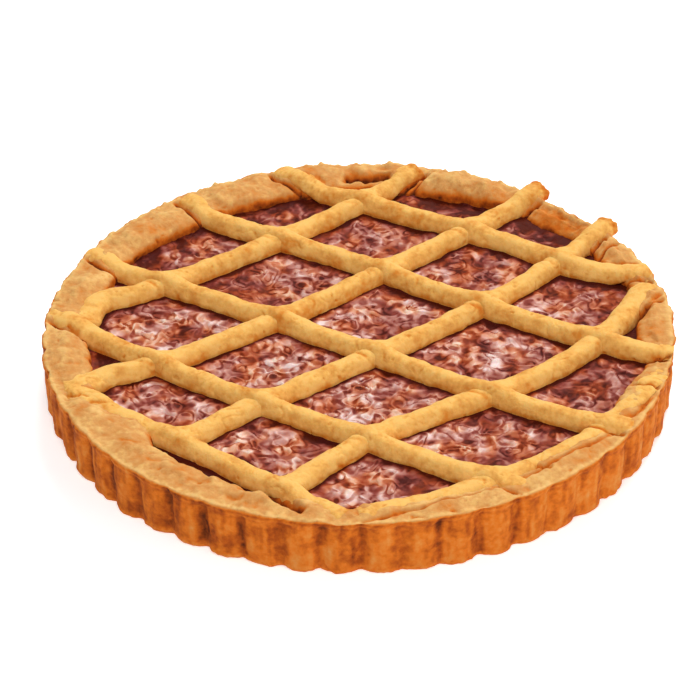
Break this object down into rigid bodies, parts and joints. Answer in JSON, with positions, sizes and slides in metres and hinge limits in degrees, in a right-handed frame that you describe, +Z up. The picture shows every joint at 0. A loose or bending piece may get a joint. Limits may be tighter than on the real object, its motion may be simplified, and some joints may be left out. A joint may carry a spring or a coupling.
{
  "type": "apricot crostata",
  "caption": "Round lattice-topped jam tart: a fluted shortcrust shell with a hand-pressed rim, a level apricot jam filling and crossed strips of baked dough.",
  "frame": {"origin": "centre of the flat underside of the crust, which is also the centre of the round tart", "axes": "+Z up, from the underside towards the lattice; -Y towards the front of the tart as the picture shows it, +X to its right"},
  "size_m": [0.2605, 0.2603, 0.0284],
  "materials": {
    "shortcrust": "baked shortcrust dough, matte and slightly grainy, browned on its fluted side",
    "lattice_dough": "baked golden dough strips, matte with a faint sheen",
    "jam": "cooked apricot jam, glossy and lumpy"
  },
  "bodies": {
    "root": {"crust_shell": "shortcrust", "jam_filling": "jam", "lattice_under_1": "lattice_dough", "lattice_under_2": "lattice_dough", "lattice_under_3": "lattice_dough", "lattice_under_4": "lattice_dough", "lattice_under_5": "lattice_dough", "lattice_over_1": "lattice_dough", "lattice_over_2": "lattice_dough", "lattice_over_3": "lattice_dough", "lattice_over_4": "lattice_dough", "lattice_over_5": "lattice_dough"}
  },
  "joints": []
}
